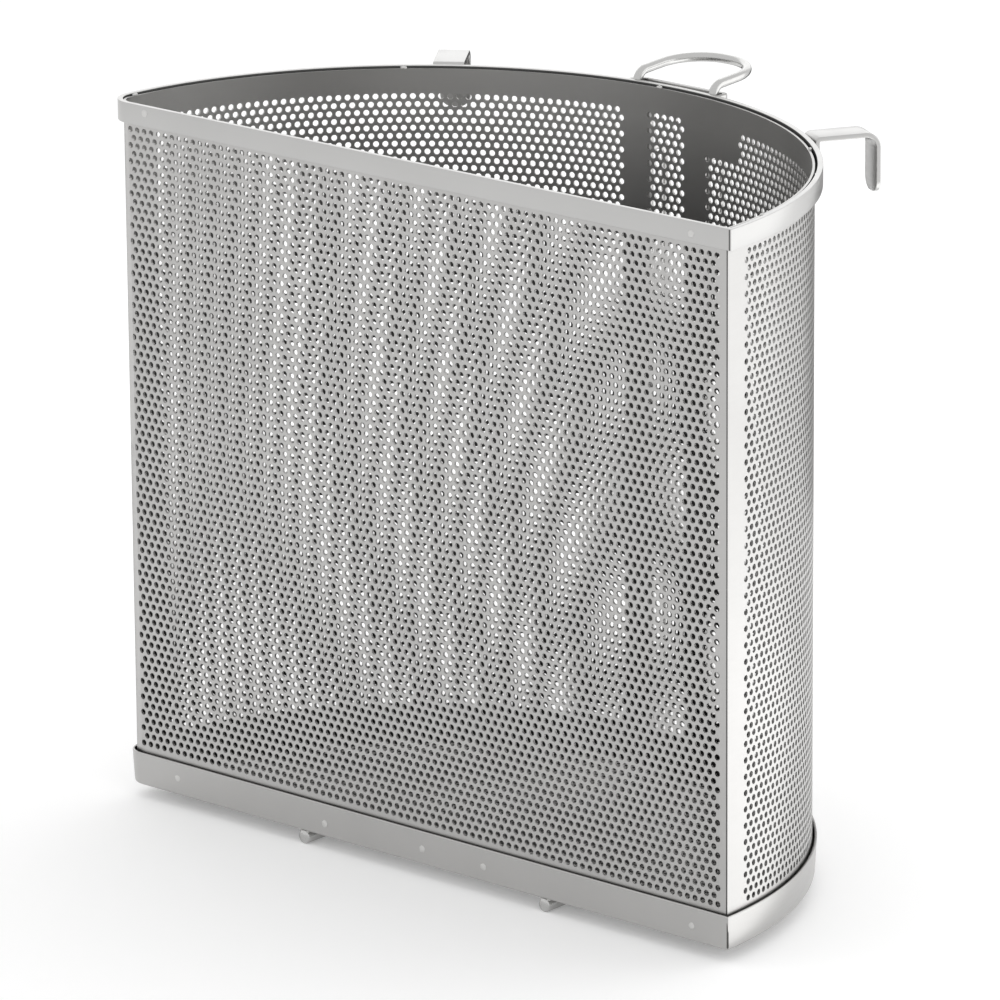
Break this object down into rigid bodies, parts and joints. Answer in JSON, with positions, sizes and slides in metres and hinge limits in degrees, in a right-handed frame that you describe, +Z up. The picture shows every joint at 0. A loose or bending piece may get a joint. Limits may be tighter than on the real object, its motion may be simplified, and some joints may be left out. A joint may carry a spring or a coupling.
{
  "type": "strainer basket",
  "caption": "Half-round perforated steel strainer basket with a rim band, two hanging hooks, a rod handle, a base tray and runners.",
  "frame": {"origin": "bottom centre of the overall box, on the floor that the runners stand on", "axes": "+X along the flat wall, towards its sharp corner; +Y from the flat wall to the back of the curve, where the handle is; +Z up"},
  "size_m": [0.509, 0.2978, 0.4742],
  "materials": {
    "sheet": "satin perforated sheet",
    "bar": "satin flat bar",
    "rod": "drawn round rod"
  },
  "bodies": {
    "root": {"front_wall": "sheet", "curved_wall": "sheet", "base_tray": "sheet", "rim_band_front": "bar", "rim_band_curve": "bar", "hook_left": "bar", "hook_right": "bar", "handle_loop": "rod", "handle_bracket": "bar", "back_strap_left": "bar", "back_strap_right": "bar", "stand_off_rod_left": "rod", "stand_off_rod_right": "rod", "runner_left": "rod", "runner_right": "rod"}
  },
  "joints": []
}
